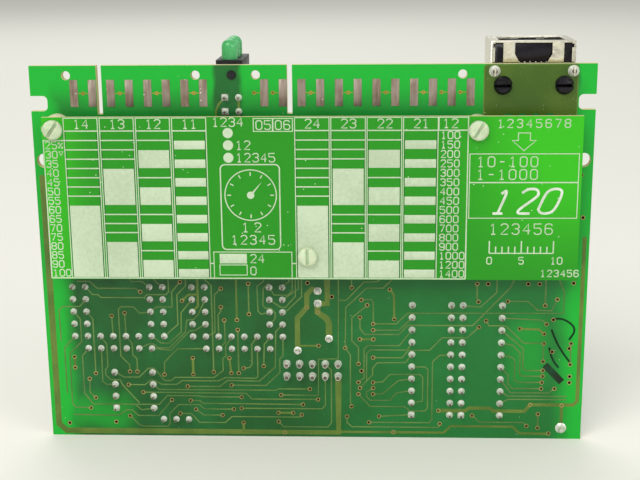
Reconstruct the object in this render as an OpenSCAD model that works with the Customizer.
// Plug-in circuit card of a machine speed monitor.
// The card stands on its bottom edge, with the solder side towards -Y.
// The components sit on the +Y side. X runs along the card and Z runs up it.
// The origin is the middle of the bottom edge.

/* [Main board] */
// Width of the main board
board_w = 106.1; // [106:0.1:110]
// Height of the main board
board_h = 74.45; // [74.4:0.05:75]
// Thickness of the main board
board_t = 1.6; // [1.5:0.1:1.6]
// Width of the two coding slots in the top edge
slot_w = 1; // [0.8:0.1:1.2]
// Lower end of the coding slots
slot_bottom_z = 65.3; // [65:0.1:66]
// Depth of the notches in the side edges
notch_depth = 3.2; // [2.6:0.1:3.2]
// Height of the notches in the side edges
notch_h = 2.9; // [2.6:0.1:3.2]
// Radius of the two side holes
side_hole_r = 1.35; // [1.2:0.05:1.5]
// Radius of the holes along the top edge
top_hole_r = 0.85; // [0.75:0.05:0.9]

/* [Edge contacts] */
// Width of one contact
contact_w = 1.5; // [1.2:0.1:1.8]
// Height of one contact
contact_h = 5.1; // [4.6:0.1:5.4]
// Pitch of the contacts
contact_pitch = 3.5; // [3.5:0.01:3.51]

/* [Label board] */
// Width of the label board
label_w = 100.5; // [100:0.1:100.5]
// Height of the label board
label_h = 31.25; // [31:0.05:31.4]
// Thickness of the label board
label_t = 1; // [0.8:0.1:1.2]
// Gap between the label board and the main board
label_gap = 3; // [2.8:0.1:3.5]

/* [Lamp block] */
// Radius of the lamps
lamp_r = 1.5; // [1.4:0.05:1.55]
// Distance from one lamp to the next
lamp_pitch = 4.3; // [4.1:0.1:4.3]
// Height of the top of the lamps above the bottom edge
lamp_top_z = 78.95; // [78:0.05:79.5]

/* [Modular jack] */
// Half of the outer width of the shield
jack_half_w = 7.85; // [7.85:0.05:8]
// Height of the jack's mouth above the bottom edge
jack_front_z = 78.45; // [78.3:0.05:78.8]
// Distance from the main board to the outer face of the shield
jack_h = 12.2; // [12:0.1:12.6]
// Resting slope of the contact springs
spring_slope = 22; // [20:1:23]

/* [Hidden] */
$fn = 32;

face = board_t / 2;             // both faces of the main board lie this far from y = 0
pitch = 2.54;                   // lead pitch of the through-hole parts
lead_out = 1.3;                 // how far the leads stand out of the solder side
fit = 0.15;                     // clearance round a lead in its hole
cut = 1;                        // overshoot of a cutting tool past the faces it opens

// Edge contacts: first one of each group, number of them, and the middle height
contact_groups = [[-44.7, 8], [-8.7, 12]];
contact_z = 69.25;
contact_t = 0.08;

// Main board: slots, notches and holes
slot_x = [-39.85, -3.95];
notch_z = 67.35;
notch_corner_r = 0.9;
side_hole = [51.25, 56.4];
top_holes = [[-46.1, 72.6], [-21.6, 72.6], [-10.3, 72.6], [28.3, 72.6]];

// Label board
label_bottom_z = 34.05;
label_x = 0.05;
label_back = -face - label_gap;
label_front = label_back - label_t;
screw_points = [[-48.1, 63], [31.1, 62.7], [-0.7, 38.6]];
screw_slot_turn = [125, 123, 90];
screw_r = 1;
screw_hole_r = 1.1;
screw_head_r = 1.85;
screw_head_h = 1.2;
screw_slot_w = 0.6;
spacer_r = 2.5;
nut_af = 4;
nut_h = 1.6;

// Lamp block
holder_x = -15.35;
holder_w = 5;
holder_depth = 13;
holder_top_z = 75.2;
holder_bottom_z = 62;
lamp_x = -15.5;
lamp_first_y = 3.3;
lamp_base_z = 71.4;
lamp_fit = 0.06;
lamp_lead_x = [-16.15, -13.55];
lamp_lead_top_x = [-16.15, -14.6];
lamp_lead_z = [68.4, 65.75, 63.1];
lamp_lead_w = 0.5;
holder_peg = [-14.8, 72.6];
holder_peg_r = 0.82;
holder_chamfer = 1.4;
lead_way_x = -16.6;
lead_way_length = 3.5;
lead_way_w = 0.9;

// Modular jack
jack_x = 41.4;
jack_rear_z = 57.2;
jack_foot_y = face + 0.05;
jack_far_y = face + jack_h;
shield_t = 0.3;
shell_half_w = 7.5;
shell_foot_y = face + 0.4;
peg_x = 5.65;
peg_z = 70.5;
peg_r = 1.6;
peg_slot = 0.6;
tab_x = 7.25;
tab_z = 73.1;
tab_w = 1.5;
finger_inner_x = 3.45;
finger_outer_x = 5.6;
flange_x = 7.1;
flange_hole_z = 77.6;
flange_hole_w = 0.7;
floor_z = board_h + 0.15;
finger_bend_z = 76.45;
mouth_half_w = 5.95;
mouth_low_y = 3.5;
mouth_high_y = 10.3;
mouth_depth = 13.8;
latch_half_w = 3.05;
latch_slot_half_w = 1.65;
latch_y = 12.1;
lip = 1.3;
wires = 8;
wire_pitch = 1.016;
tail_pitch = 1.27;
tail_rows_z = [64.15, 61.61];
wire_r = 0.18;
tail_r = 0.23;
wire_run_y = face + 0.72;
wire_bend_z = 74.56;
spring_pivot_y = 2.5;
spring_length = 8.6;
spring_root_r = 0.2;
spring_bay_half_w = 4.3;
spring_bay_low_y = 1.95;
spring_bay_z = 65.4;
wire_way_half_w = 4.7;
wire_way_z = 65;
wire_way_top_z = 74.8;
wire_way_depth = 0.6;
tail_bay_half_w = 5;
tail_bay_z = 60.9;

// Through-hole chips: [x, z] of the middle
socket_points = [[-38.4, 27.47], [-14.88, 27.47]];
driver_points = [[23.21, 16.32], [33.07, 16.3]];
memory_point = [-35.98, 9.72];
coupler_points = [[-36, 50], [-10, 50]];
receiver_point = [20, 46];
row_gap = 7.62;
chip_half_w = 3.2;
chip_base = 0.5;
chip_top = 3.9;
band_low = 2;
band_high = 2.35;
lead_hole_r = 0.42;
chip_lead_w = 1.4;
chip_tip_w = 0.46;
chip_lead_t = 0.25;
chip_shoulder = 0.8;
small_lead_r = 0.27;

// Leaded chip socket and the processor in it
socket_half = 10.55;
socket_base = 0.75;
socket_top = 4.7;
socket_floor = 1.3;
pocket_half = 8.95;
contact_half = 8.89;
socket_ring = 3.5;
socket_lead_step = 1.27;
socket_lead_count = 11;
socket_foot_at = 9.4;
socket_foot_r = 0.8;
socket_window = 8;
socket_slot_w = 0.8;
socket_corner_cut = 2.4;
tool_slot_at = 13;
tool_slot_w = 2.4;
processor_half = 8.3;
processor_low = 1.75;
processor_high = 5.3;
processor_lead_half = 8.73;
processor_lead_z = 3.3;
processor_mark_r = 1;
processor_mark_in = 2.2;

// Pin header
header_point = [-0.215, 14.284];
header_columns = 5;
header_rows = 2;
header_base_h = 2.5;
header_pin_w = 0.64;
header_hole_w = 0.66;
header_corner = 0.3;
header_pin_top = 8.6;

// Small leaded parts
monitor_point = [-27.75, 3.57];
monitor_r = 2.35;
monitor_flat = 1.4;
monitor_low = 2.2;
monitor_high = 6.9;
diode_ends = [[3.1, 20.8], [-3.1, 18.3]];
diode_r = 1.3;
diode_length = 4.2;
diode_height = 1.65;
diode_lead_r = 0.38;
capacitor_point = [0.95, 29.3];
capacitor_r = 3.15;
capacitor_low = 0.9;
capacitor_high = 11.6;
crystal_points = [[-38.4, 42.2], [-14.9, 42.2]];
crystal_lead_gap = 4.88;
network_points = [[-34, 59], [-4, 59]];
network_leads_each = 9;
network_t = 2.2;
network_low = 0.6;
network_high = 6.4;
earth_point = [49.1, 2.3];

// Surface-mounted parts: [x, z, 1 if it lies along z]
capacitor_spots = [
    [9, 40, 1], [9, 46, 1], [9, 52, 1], [13.5, 24, 1], [13.5, 16, 1], [13.5, 8, 1],
    [42, 24, 1], [42, 16, 1], [-46, 10, 1], [-28.3, 12, 1], [28.5, 36, 1], [28.5, 42, 1]
];
input_resistors = [for (x = [-44 : 4 : -28], side = [0, 26]) [x + side, 56.1, 0]];
jack_resistors = [for (x = [36, 41, 46], z = [41.5 : 3.5 : 52]) [x, z, 0]];
chip_part_length = 3.2;
chip_part_w = 1.6;
end_cap_length = 0.5;
chip_capacitor_h = 1.1;
chip_resistor_h = 0.6;

// ---- places worked out from the values above ----

function contact_places() = [for (g = contact_groups, i = [0 : g[1] - 1]) g[0] + contact_pitch * i];

// The tails of a leaded chip socket stand on two square rings, 44 in all
function socket_tails(c) = [
    for (a = [-socket_ring : socket_ring], b = [-socket_ring : socket_ring])
        let (far = max(abs(a), abs(b)), near = min(abs(a), abs(b)))
        if ((far == socket_ring && near < socket_ring) || far == socket_ring - 1)
            [c[0] + pitch * a, c[1] + pitch * b]
];

// Place of lead k along one side of a leaded chip
function side_lead(k) = (k - (socket_lead_count - 1) / 2) * socket_lead_step;

function upright_rows(c, n) = [
    for (s = [-0.5, 0.5], k = [0 : n / 2 - 1])
        [c[0] + s * row_gap, c[1] + (k - (n / 2 - 1) / 2) * pitch]
];

function level_rows(c, n) = [
    for (s = [-0.5, 0.5], k = [0 : n / 2 - 1])
        [c[0] + (k - (n / 2 - 1) / 2) * pitch, c[1] + s * row_gap]
];

function header_places() = [
    for (i = [0 : header_columns - 1], j = [0 : header_rows - 1])
        header_point + pitch * [i - (header_columns - 1) / 2, j - (header_rows - 1) / 2]
];

function network_places(c) = [
    for (k = [0 : network_leads_each - 1]) c + [(k - (network_leads_each - 1) / 2) * pitch, 0]
];

function wire_x(i) = jack_x + (i - (wires - 1) / 2) * wire_pitch;
function tail_x(i) = jack_x + (i - (wires - 1) / 2) * tail_pitch;
function tail_z(i) = tail_rows_z[i % 2];
function lamp_y(i) = lamp_first_y + i * lamp_pitch;
function diode_middle() = (diode_ends[0] + diode_ends[1]) / 2;
function diode_angle() = atan2(diode_ends[0][1] - diode_ends[1][1], diode_ends[0][0] - diode_ends[1][0]);
function diode_span() = norm(diode_ends[0] - diode_ends[1]);

// ---- shared shapes ----

// A flat shape drawn in x and z, given a thickness from y = low to y = high
module plate(low, high) {
    translate([0, high, 0]) rotate([90, 0, 0]) linear_extrude(high - low) children();
}

// Places a shape on the component side: its own z points away from the board and its y points down
module on_rear(c) {
    translate([c[0], face, c[1]]) rotate([-90, 0, 0]) children();
}

// A square-cut box with its middle at x and z and running from y = low to y = high
module post(x, z, w, d, low, high) {
    translate([x - w / 2, low, z - d / 2]) cube([w, high - low, d]);
}

// A round wire between two points
module rod(a, b, r) {
    d = b - a;
    translate(a) rotate([0, acos(d[2] / norm(d)), atan2(d[1], d[0])]) cylinder(r = r, h = norm(d));
}

module round_holes(points, r) {
    for (p = points) translate(p) circle(r);
}

// ---- boards and their fixings ----

module notch(side) {
    translate([side * board_w / 2, notch_z]) {
        square([2 * (notch_depth - notch_corner_r), notch_h], center = true);
        square([2 * notch_depth, notch_h - 2 * notch_corner_r], center = true);
        for (s = [-1, 1])
            translate([-side * (notch_depth - notch_corner_r), s * (notch_h / 2 - notch_corner_r)])
                circle(notch_corner_r);
    }
}

module main_board() {
    color("#1f9a46") plate(-face, face) difference() {
        translate([-board_w / 2, 0]) square([board_w, board_h]);
        for (side = [-1, 1]) notch(side);
        for (x = slot_x) translate([x - slot_w / 2, slot_bottom_z]) square([slot_w, board_h]);
        round_holes(top_holes, top_hole_r);
        round_holes([side_hole, [-side_hole[0], side_hole[1]]], side_hole_r);
        round_holes(screw_points, screw_hole_r);
        round_holes([holder_peg], holder_peg_r + 0.05);
        round_holes([for (x = lamp_lead_x, z = lamp_lead_z) [x, z]], lamp_lead_w / 2 + 2 * fit);
        round_holes([for (s = [-1, 1]) [jack_x + s * peg_x, peg_z]], peg_r + 0.08);
        round_holes([for (s = [-1, 1]) [jack_x + s * tab_x, tab_z]], tab_w / 2 + fit);
        round_holes([for (i = [0 : wires - 1]) [tail_x(i), tail_z(i)]], tail_r + fit);
        for (c = socket_points) round_holes(socket_tails(c), 0.25 + fit);
        for (c = driver_points) round_holes(upright_rows(c, 20), lead_hole_r);
        round_holes(upright_rows(memory_point, 8), lead_hole_r);
        round_holes(upright_rows(receiver_point, 16), lead_hole_r);
        for (c = coupler_points) round_holes(level_rows(c, 16), lead_hole_r);
        for (c = network_points) round_holes(network_places(c), lead_hole_r);
        round_holes(header_places(), header_pin_w / 2 + fit);
        round_holes([for (k = [-1 : 1]) monitor_point + [k * pitch, 0]], 0.3 + fit);
        round_holes(diode_ends, diode_lead_r + fit);
        round_holes([for (s = [-0.5, 0.5]) capacitor_point + [0, s * pitch]], lead_hole_r);
        for (c = crystal_points, s = [-0.5, 0.5])
            round_holes([c + [s * crystal_lead_gap, 0]], 0.25 + fit);
        round_holes([earth_point], 0.55 + fit);
    }
}

module edge_contacts() {
    color("#9c8a78") for (x = contact_places())
        post(x, contact_z, contact_w, contact_h, -face - contact_t, -face);
}

module label_board() {
    color("#35b62c") plate(label_front, label_back) difference() {
        translate([label_x - label_w / 2, label_bottom_z]) square([label_w, label_h]);
        round_holes(screw_points, screw_hole_r);
    }
}

module label_screw(turn) {
    reach = label_t + label_gap + board_t + nut_h + 0.8;
    difference() {
        rotate([90, 0, 0]) rotate_extrude() polygon([
            [0, -reach], [screw_r, -reach], [screw_r, 0], [screw_head_r, 0],
            [screw_head_r, screw_head_h * 0.7], [screw_head_r * 0.78, screw_head_h], [0, screw_head_h]
        ]);
        rotate([0, turn, 0]) translate([-screw_head_r - cut, -screw_head_h - cut, -screw_slot_w / 2])
            cube([2 * (screw_head_r + cut), cut + screw_head_h / 2, screw_slot_w]);
    }
}

module label_screws() {
    color("#e6e2cf") for (i = [0 : 2])
        translate([screw_points[i][0], label_front, screw_points[i][1]]) label_screw(screw_slot_turn[i]);
}

module label_spacers() {
    color("#d9d2b4") plate(label_back, -face) for (p = screw_points) translate(p) difference() {
        circle(spacer_r);
        circle(screw_hole_r);
    }
}

module label_nuts() {
    color("#e6e2cf") plate(face, face + nut_h) for (p = screw_points) translate(p) difference() {
        rotate(30) circle(nut_af / sqrt(3), $fn = 6);
        circle(screw_r + 0.05);
    }
}

// ---- lamp block ----

module lamp_holder() {
    color("#1c1c1e") difference() {
        union() {
            translate([holder_x - holder_w / 2, face, holder_bottom_z])
                cube([holder_w, holder_depth, holder_top_z - holder_bottom_z]);
            plate(-face - 0.25, face) translate(holder_peg) circle(holder_peg_r);
        }
        for (i = [0 : 2]) {
            translate([lamp_x, lamp_y(i), lamp_base_z - 0.3])
                cylinder(r = lamp_r + lamp_fit, h = holder_top_z - lamp_base_z + cut);
            // The channels that carry this lamp's two leads down and out to the main board
            translate([lead_way_x, lamp_y(i) - lead_way_w / 2, lamp_lead_z[i] - lead_way_w / 2])
                cube([lead_way_length, lead_way_w, lamp_base_z - lamp_lead_z[i] + lead_way_w / 2]);
            translate([lead_way_x, face - cut, lamp_lead_z[i] - lead_way_w / 2])
                cube([lead_way_length, lamp_y(i) - face + cut, lead_way_w]);
        }
        // Chamfer along the far lower edge
        translate([holder_x, face + holder_depth, holder_bottom_z]) rotate([45, 0, 0])
            cube([holder_w + cut, holder_chamfer, holder_chamfer], center = true);
    }
}

module lamp(i) {
    color("#58c56b") translate([lamp_x, lamp_y(i), lamp_base_z]) rotate_extrude() difference() {
        union() {
            square([lamp_r, lamp_top_z - lamp_r - lamp_base_z]);
            translate([0, lamp_top_z - lamp_r - lamp_base_z]) circle(lamp_r);
        }
        translate([-2 * lamp_r, -cut]) square([2 * lamp_r, lamp_top_z]);
    }
}

module lamp_front() { lamp(0); }
module lamp_middle() { lamp(1); }
module lamp_rear() { lamp(2); }

module lamp_leads() {
    w = lamp_lead_w;
    color("#b9b9b4") for (i = [0 : 2], k = [0, 1]) {
        y = lamp_y(i);
        z = lamp_lead_z[i];
        translate([lamp_lead_top_x[k] - w / 2, y - w / 2, z - w / 2]) cube([w, w, lamp_base_z - z + w / 2]);
        translate([lamp_lead_top_x[k] - w / 2, y - w / 2, z - w / 2])
            cube([lamp_lead_x[k] - lamp_lead_top_x[k] + w, w, w]);
        post(lamp_lead_x[k], z, w, w, -face - lead_out, y + w / 2);
    }
}

// ---- modular jack ----

// One grounding finger: a bent strip, wider at its lower end
module grounding_finger(side) {
    translate([jack_x, 0, 0]) intersection() {
        rotate([90, 0, 90]) linear_extrude(2 * flange_x, center = true) polygon([
            [jack_foot_y, jack_front_z - 0.05], [jack_foot_y + 0.26, jack_front_z - 0.05],
            [face - 0.02, finger_bend_z], [jack_foot_y + 0.26, floor_z], [jack_foot_y, floor_z],
            [face - 0.3, finger_bend_z]
        ]);
        plate(-face, face + 2) polygon([
            [side * finger_outer_x, jack_front_z], [side * finger_inner_x, jack_front_z],
            [side * finger_inner_x, 76.1], [side * (finger_inner_x - 1.4), floor_z - cut],
            [side * finger_outer_x, floor_z - cut]
        ]);
    }
}

// A narrow flange along an edge that stands past the main board, with a small hole in it
module edge_flange(side) {
    plate(jack_foot_y, jack_foot_y + shield_t) translate([jack_x, 0]) difference() {
        polygon([
            [side * jack_half_w, jack_front_z], [side * flange_x, jack_front_z],
            [side * flange_x, floor_z], [side * jack_half_w, floor_z]
        ]);
        translate([side * flange_x, flange_hole_z]) square(flange_hole_w, center = true);
    }
}

// A solder tab through the main board, with the short step that joins it to its side wall
module solder_tab(side) {
    step_w = jack_half_w - tab_x;
    post(jack_x + side * tab_x, tab_z, shield_t, tab_w, -face - lead_out, jack_foot_y + shield_t);
    post(jack_x + side * (tab_x + step_w / 2), tab_z, step_w, tab_w, jack_foot_y, jack_foot_y + shield_t);
}

module jack_shield() {
    margin = 0.2;
    color("#c9c6b8") {
        difference() {
            translate([jack_x - jack_half_w, jack_foot_y, jack_rear_z])
                cube([2 * jack_half_w, jack_far_y - jack_foot_y, jack_front_z - jack_rear_z]);
            translate([jack_x - jack_half_w + shield_t, jack_foot_y - cut, jack_rear_z + shield_t])
                cube([
                    2 * (jack_half_w - shield_t), jack_far_y - jack_foot_y - shield_t + cut,
                    jack_front_z - jack_rear_z - 2 * shield_t
                ]);
            // The mouth in the front plate
            translate([jack_x - mouth_half_w - margin, mouth_low_y - margin, jack_front_z - cut])
                cube([2 * (mouth_half_w + margin), mouth_high_y - mouth_low_y + 2 * margin, 2 * cut]);
            translate([jack_x - latch_half_w - margin, mouth_high_y - cut, jack_front_z - cut])
                cube([2 * (latch_half_w + margin), latch_y - mouth_high_y + cut + margin / 2, 2 * cut]);
        }
        for (side = [-1, 1]) {
            edge_flange(side);
            grounding_finger(side);
            solder_tab(side);
        }
    }
}

module split_peg(x) {
    difference() {
        translate([x, shell_foot_y, peg_z]) rotate([90, 0, 0]) rotate_extrude() polygon([
            [0, 0], [peg_r, 0], [peg_r, 2.05], [peg_r + 0.15, 2.3], [peg_r - 0.35, 3.1], [0, 3.1]
        ]);
        translate([x - 3, -face - 2, peg_z - peg_slot / 2]) cube([6, board_t + 1.8, peg_slot]);
    }
}

module jack_housing() {
    color("#17161a") {
        difference() {
            translate([jack_x - shell_half_w, shell_foot_y, jack_rear_z + shield_t + 0.05])
                cube([
                    2 * shell_half_w, jack_far_y - shield_t - 0.05 - shell_foot_y,
                    jack_front_z - jack_rear_z - 2 * shield_t - 0.1
                ]);
            // The space for the plug, with the stepped way for its latch
            translate([jack_x - mouth_half_w, mouth_low_y, jack_front_z - mouth_depth])
                cube([2 * mouth_half_w, mouth_high_y - mouth_low_y, mouth_depth]);
            translate([jack_x - latch_slot_half_w, mouth_high_y - cut, jack_front_z - mouth_depth])
                cube([2 * latch_slot_half_w, latch_y - mouth_high_y + cut, mouth_depth]);
            translate([jack_x - latch_half_w, mouth_high_y - cut, jack_front_z - mouth_depth])
                cube([2 * latch_half_w, latch_y - mouth_high_y + cut, mouth_depth - lip]);
            // The bay that the springs bend into, and the shallow channels of the fixed wires
            translate([jack_x - spring_bay_half_w, spring_bay_low_y, spring_bay_z])
                cube([
                    2 * spring_bay_half_w, mouth_low_y - spring_bay_low_y + cut,
                    wire_way_top_z + 0.5 - spring_bay_z
                ]);
            translate([jack_x - wire_way_half_w, shell_foot_y - cut, wire_way_z])
                cube([2 * wire_way_half_w, wire_way_depth + cut, wire_way_top_z - wire_way_z]);
            translate([jack_x - tail_bay_half_w, shell_foot_y - cut, tail_bay_z])
                cube([2 * tail_bay_half_w, wire_way_depth + cut, wire_way_z + 0.1 - tail_bay_z]);
            for (i = [0 : wires - 1])
                translate([wire_x(i) - 0.25, shell_foot_y - cut, wire_bend_z - 0.25]) cube([0.5, 3, 0.5]);
        }
        for (side = [-1, 1]) split_peg(jack_x + side * peg_x);
    }
}

module jack_springs() {
    color("#d8b45a") for (i = [0 : wires - 1]) {
        root = [wire_x(i), spring_pivot_y, wire_bend_z];
        tip = root + spring_length * [0, sin(spring_slope), -cos(spring_slope)];
        translate(root) rotate([0, 90, 0]) cylinder(r = spring_root_r, h = 2 * wire_r, center = true);
        rod(root, tip, wire_r);
        translate(tip) sphere(wire_r);
    }
}

module jack_pins() {
    color("#c9c4b4") for (i = [0 : wires - 1]) {
        tail = [tail_x(i), wire_run_y, tail_z(i)];
        bend = [wire_x(i), wire_run_y, wire_bend_z];
        rod(tail, [tail_x(i), -face - lead_out, tail_z(i)], tail_r);
        translate(tail) sphere(tail_r);
        rod(tail, bend, wire_r);
        translate(bend) sphere(wire_r);
        rod(bend, [wire_x(i), spring_pivot_y - spring_root_r - 0.05, wire_bend_z], wire_r);
    }
}

// ---- sockets and the processors in them ----

module socket_body(c) {
    color("#2a2725") on_rear(c) difference() {
        union() {
            translate([-socket_half, -socket_half, socket_base])
                cube([2 * socket_half, 2 * socket_half, socket_top - socket_base]);
            for (x = [-socket_foot_at, socket_foot_at], y = [-socket_foot_at, socket_foot_at])
                translate([x, y, 0]) cylinder(r = socket_foot_r, h = socket_base);
        }
        translate([0, 0, socket_floor]) linear_extrude(socket_top) square(2 * pocket_half, center = true);
        linear_extrude(socket_top) square(socket_window, center = true);
        for (turn = [0 : 90 : 270], k = [0 : socket_lead_count - 1]) rotate(turn)
            translate([side_lead(k) - socket_slot_w / 2, -contact_half - 0.5, 0])
                cube([socket_slot_w, 0.95, socket_top + cut]);
        // Slots for the lifting tool in two opposite corners, and the cut first-lead corner
        for (s = [-1, 1]) rotate(45) translate([s * tool_slot_at, 0, socket_top])
            cube([5, tool_slot_w, 5], center = true);
        translate([socket_half, -socket_half, socket_base]) rotate(45)
            cube([socket_corner_cut, socket_corner_cut, 12], center = true);
    }
}

module socket_left() { socket_body(socket_points[0]); }
module socket_right() { socket_body(socket_points[1]); }

// Each spring contact stands in its slot. Every second one reaches an inner tail by a jogged foot
module socket_pins(c) {
    tail = 0.25;
    blade = 0.4;
    strip = 0.6;
    low = 0.3;
    inner = contact_half - pitch;
    depth = board_t + lead_out;
    color("#b7b3a6") on_rear(c) for (turn = [0 : 90 : 270], k = [0 : socket_lead_count - 1]) rotate(turn) {
        x = side_lead(k);
        translate([x - strip / 2, -contact_half - tail / 2, low]) cube([strip, tail, socket_top - 0.7]);
        if (k % 2 == 0)
            translate([x - blade / 2, -contact_half - tail / 2, -depth]) cube([blade, tail, depth + 0.5]);
        else {
            translate([x - blade / 2, -contact_half, low]) cube([blade, pitch + tail / 2, tail]);
            translate([x - socket_lead_step - blade / 2, -inner - tail / 2, low])
                cube([socket_lead_step + blade, tail, tail]);
            translate([x - socket_lead_step - blade / 2, -inner - tail / 2, -depth])
                cube([blade, tail, depth + low + tail]);
        }
    }
}

module socket_pins_left() { socket_pins(socket_points[0]); }
module socket_pins_right() { socket_pins(socket_points[1]); }

module processor(c) {
    h = processor_half;
    color("#232325") on_rear(c) difference() {
        translate([0, 0, processor_low]) linear_extrude(processor_high - processor_low)
            polygon([[-h, -h], [h - 1.2, -h], [h, -h + 1.2], [h, h], [-h, h]]);
        translate([0, 1 - h, processor_high]) cylinder(r = 0.7, h = 0.4, center = true);
        for (s = [-1, 1]) translate([s * (h - processor_mark_in), h - processor_mark_in, processor_high])
            cylinder(r = processor_mark_r, h = 0.2, center = true);
    }
}

module processor_left() { processor(socket_points[0]); }
module processor_right() { processor(socket_points[1]); }

// J-shaped leads: out of the side, down it and tucked under the edge
module processor_leads(c) {
    h = processor_half;
    out = processor_lead_half;
    shoulder = 0.7;
    tuck = 1.1;
    color("#c3c2bb") on_rear(c) for (turn = [0 : 90 : 270], k = [0 : socket_lead_count - 1]) rotate(turn)
        translate([side_lead(k) - shoulder / 2, -out, 0]) {
            translate([0, 0, processor_lead_z]) cube([shoulder, out - h, chip_lead_t]);
            translate([0, 0, socket_floor + 0.2])
                cube([shoulder, chip_lead_t, processor_lead_z - socket_floor - 0.2 + chip_lead_t]);
            translate([(shoulder - chip_tip_w) / 2, 0, socket_floor + 0.15])
                cube([chip_tip_w, tuck, chip_lead_t]);
        }
}

module processor_leads_left() { processor_leads(socket_points[0]); }
module processor_leads_right() { processor_leads(socket_points[1]); }

// ---- dual in-line chips ----

// Body of a dual in-line chip with n leads. Its rows run along z, or along x when level is true
module dual_body(c, n, level = false) {
    length = n / 2 * pitch + 0.6;
    w = chip_half_w;
    color("#27272a") on_rear(c) rotate(level ? 90 : 0) difference() {
        translate([0, length / 2, 0]) rotate([90, 0, 0]) linear_extrude(length) polygon([
            [-w + 0.2, chip_base], [-w, band_low], [-w, band_high], [-w + 0.3, chip_top],
            [w - 0.3, chip_top], [w, band_high], [w, band_low], [w - 0.2, chip_base]
        ]);
        translate([0, length / 2, chip_top]) cylinder(r = 1, h = 1, center = true);
        translate([-w + 1.2, length / 2 - 1.6, chip_top]) cylinder(r = 0.5, h = 0.3, center = true);
    }
}

module dual_leads(c, n, level = false) {
    t = chip_lead_t;
    w = chip_lead_w;
    depth = board_t + lead_out;
    color("#c3c2bb") on_rear(c) rotate(level ? 90 : 0) for (s = [0, 180], k = [0 : n / 2 - 1])
        rotate(s) translate([row_gap / 2, (k - (n / 2 - 1) / 2) * pitch, 0]) {
            translate([chip_half_w - row_gap / 2, -w / 2, band_low + 0.05])
                cube([row_gap / 2 - chip_half_w + t / 2, w, t]);
            translate([-t / 2, -w / 2, chip_shoulder]) cube([t, w, band_low + 0.05 - chip_shoulder + t]);
            translate([-t / 2, -chip_tip_w / 2, -depth]) cube([t, chip_tip_w, depth + 1]);
        }
}

module bus_driver_left() { dual_body(driver_points[0], 20); }
module bus_driver_right() { dual_body(driver_points[1], 20); }
module driver_leads_left() { dual_leads(driver_points[0], 20); }
module driver_leads_right() { dual_leads(driver_points[1], 20); }
module memory_chip() { dual_body(memory_point, 8); }
module memory_leads() { dual_leads(memory_point, 8); }
module coupler_left() { dual_body(coupler_points[0], 16, true); }
module coupler_right() { dual_body(coupler_points[1], 16, true); }
module coupler_leads() { for (c = coupler_points) dual_leads(c, 16, true); }
module line_receiver() { dual_body(receiver_point, 16); }
module receiver_leads() { dual_leads(receiver_point, 16); }

// ---- header, small leaded parts and the earth post ----

module pin_header() {
    color("#1b1b1d") difference() {
        for (i = [0 : header_columns - 1]) {
            x = header_point[0] + (i - (header_columns - 1) / 2) * pitch;
            plate(face, face + header_base_h) translate([x, header_point[1]]) polygon([
                for (s = [[1, 1], [-1, 1], [-1, -1], [1, -1]], t = [0, 1])
                    let (flip = s[0] * s[1] > 0 ? t : 1 - t)
                    [s[0] * (pitch / 2 - header_corner * flip), s[1] * (pitch - header_corner * (1 - flip))]
            ]);
        }
        for (p = header_places())
            post(p[0], p[1], header_hole_w, header_hole_w, face - cut, face + header_base_h + cut);
    }
}

module header_pins() {
    color("#cdb15a") for (p = header_places())
        post(p[0], p[1], header_pin_w, header_pin_w, -face - lead_out, face + header_pin_top);
}

module reset_monitor() {
    color("#232325") on_rear(monitor_point) translate([0, 0, monitor_low])
        linear_extrude(monitor_high - monitor_low) intersection() {
            circle(monitor_r);
            translate([-monitor_r, -monitor_r]) square([2 * monitor_r, monitor_r + monitor_flat]);
        }
}

// The outer two of the three leads are splayed to the pitch of the holes
module monitor_leads() {
    w = 0.42;
    splay = 1.2;
    depth = board_t + lead_out;
    color("#b9b9b4") on_rear(monitor_point) for (k = [-1 : 1]) {
        translate([k * pitch / 2 - w / 2, -w / 2, splay]) cube([w, w, monitor_low - splay]);
        translate([min(k * pitch / 2, k * pitch) - w / 2, -w / 2, splay - w])
            cube([abs(k) * pitch / 2 + w, w, w]);
        translate([k * pitch - w / 2, -w / 2, -depth]) cube([w, w, depth + splay]);
    }
}

module supply_diode() {
    color("#2a2a2c") on_rear(diode_middle()) rotate(-diode_angle())
        translate([-diode_length / 2, 0, diode_height]) rotate([0, 90, 0]) rotate_extrude() polygon([
            [0, 0], [diode_r - 0.15, 0], [diode_r, 0.2], [diode_r, diode_length - 0.2],
            [diode_r - 0.15, diode_length], [0, diode_length]
        ]);
}

module diode_leads() {
    span = diode_span() / 2;
    r = diode_lead_r;
    color("#b9b9b4") on_rear(diode_middle()) rotate(-diode_angle()) for (s = [-1, 1]) {
        translate([s * diode_length / 2, 0, diode_height]) rotate([0, s * 90, 0])
            cylinder(r = r, h = span - diode_length / 2);
        translate([s * span, 0, diode_height]) sphere(r);
        translate([s * span, 0, -board_t - lead_out])
            cylinder(r = r, h = board_t + lead_out + diode_height);
    }
}

module capacitor_can() {
    r = capacitor_r;
    color("#20335f") on_rear(capacitor_point) rotate_extrude() polygon([
        [0, capacitor_low], [r - 0.25, capacitor_low], [r, capacitor_low + 0.25],
        [r, capacitor_low + 1.2], [r - 0.3, capacitor_low + 1.55], [r, capacitor_low + 1.9],
        [r, capacitor_high - 0.4], [r - 0.4, capacitor_high], [r - 0.8, capacitor_high - 0.15],
        [0, capacitor_high - 0.15]
    ]);
}

module capacitor_bung() {
    color("#1a1a1b") on_rear(capacitor_point) cylinder(r = capacitor_r - 0.5, h = capacitor_low);
}

module capacitor_leads() {
    color("#b9b9b4") for (s = [-0.5, 0.5]) on_rear(capacitor_point + [0, s * pitch])
        translate([0, 0, -board_t - lead_out]) cylinder(r = small_lead_r, h = board_t + lead_out);
}

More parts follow.
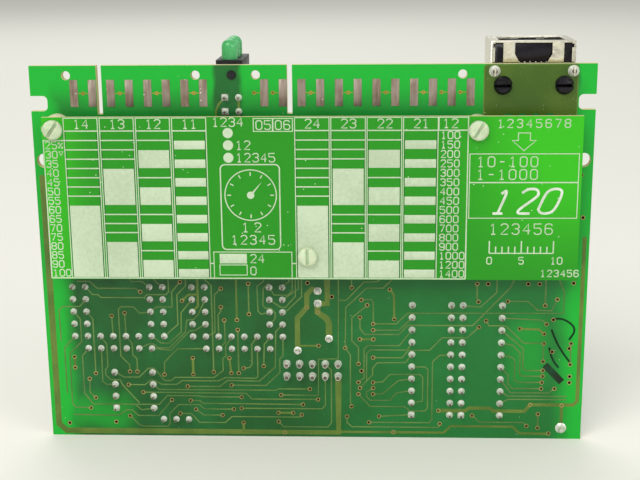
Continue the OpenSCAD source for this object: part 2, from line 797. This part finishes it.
module crystal_can(c) {
    color("#c8c8c4") on_rear(c) {
        for (step = [[0.3, 0.35, 2.35], [0.65, 3.0, 2.05]])
            translate([0, 0, step[0]]) linear_extrude(step[1]) {
                square([2 * (5.5 - step[2]) + 0.6, 2 * step[2]], center = true);
                for (s = [-1, 1]) translate([s * (5.8 - step[2]), 0]) circle(step[2]);
            }
    }
}

module crystal_left() { crystal_can(crystal_points[0]); }
module crystal_right() { crystal_can(crystal_points[1]); }

module crystal_leads() {
    color("#b9b9b4") for (c = crystal_points, s = [-0.5, 0.5]) on_rear(c + [s * crystal_lead_gap, 0])
        translate([0, 0, -board_t - lead_out]) cylinder(r = 0.22, h = board_t + lead_out + 0.3);
}

module resistor_network(c) {
    length = network_leads_each * pitch - 0.3;
    color("#c3a13c") on_rear(c) translate([-length / 2, -network_t / 2, network_low]) difference() {
        cube([length, network_t, network_high - network_low]);
        for (x = [0, length], y = [0, network_t]) translate([x, y, 0]) rotate(45)
            cube([0.5, 0.5, 3 * network_high], center = true);
    }
}

module resistor_network_left() { resistor_network(network_points[0]); }
module resistor_network_right() { resistor_network(network_points[1]); }

module network_leads() {
    color("#b9b9b4") for (c = network_points, p = network_places(c))
        post(p[0], p[1], 0.46, 0.26, -face - lead_out, face + network_low);
}

module chip_bodies(spots, h) {
    for (p = spots) on_rear(p) rotate(90 * p[2]) translate([0, 0, h / 2])
        cube([chip_part_length - 2 * end_cap_length, chip_part_w, h], center = true);
}

module chip_ends(spots, h) {
    for (p = spots, s = [-1, 1]) on_rear(p) rotate(90 * p[2])
        translate([s * (chip_part_length - end_cap_length) / 2, 0, h / 2])
            cube([end_cap_length, chip_part_w, h], center = true);
}

module chip_capacitors() { color("#b08a5c") chip_bodies(capacitor_spots, chip_capacitor_h); }

module chip_resistors() {
    color("#1e1e20") chip_bodies(concat(input_resistors, jack_resistors), chip_resistor_h);
}

module chip_end_caps() {
    color("#cfcdc6") {
        chip_ends(capacitor_spots, chip_capacitor_h);
        chip_ends(concat(input_resistors, jack_resistors), chip_resistor_h);
    }
}

module earth_post() {
    color("#cfcdc6") on_rear(earth_point) rotate_extrude() polygon([
        [0, -board_t - lead_out], [0.45, -board_t - lead_out], [0.5, -board_t - lead_out + 0.2], [0.5, 0],
        [1.1, 0], [1.1, 0.8], [0.6, 1], [0.6, 6.6], [0.4, 7], [0, 7]
    ]);
}

main_board();
edge_contacts();
label_board();
label_screws();
label_spacers();
label_nuts();
lamp_holder();
lamp_front();
lamp_middle();
lamp_rear();
lamp_leads();
jack_shield();
jack_housing();
jack_springs();
jack_pins();
socket_left();
socket_right();
socket_pins_left();
socket_pins_right();
processor_left();
processor_right();
processor_leads_left();
processor_leads_right();
bus_driver_left();
bus_driver_right();
driver_leads_left();
driver_leads_right();
memory_chip();
memory_leads();
pin_header();
header_pins();
reset_monitor();
monitor_leads();
supply_diode();
diode_leads();
capacitor_can();
capacitor_bung();
capacitor_leads();
crystal_left();
crystal_right();
crystal_leads();
coupler_left();
coupler_right();
coupler_leads();
line_receiver();
receiver_leads();
resistor_network_left();
resistor_network_right();
network_leads();
chip_capacitors();
chip_resistors();
chip_end_caps();
earth_post();
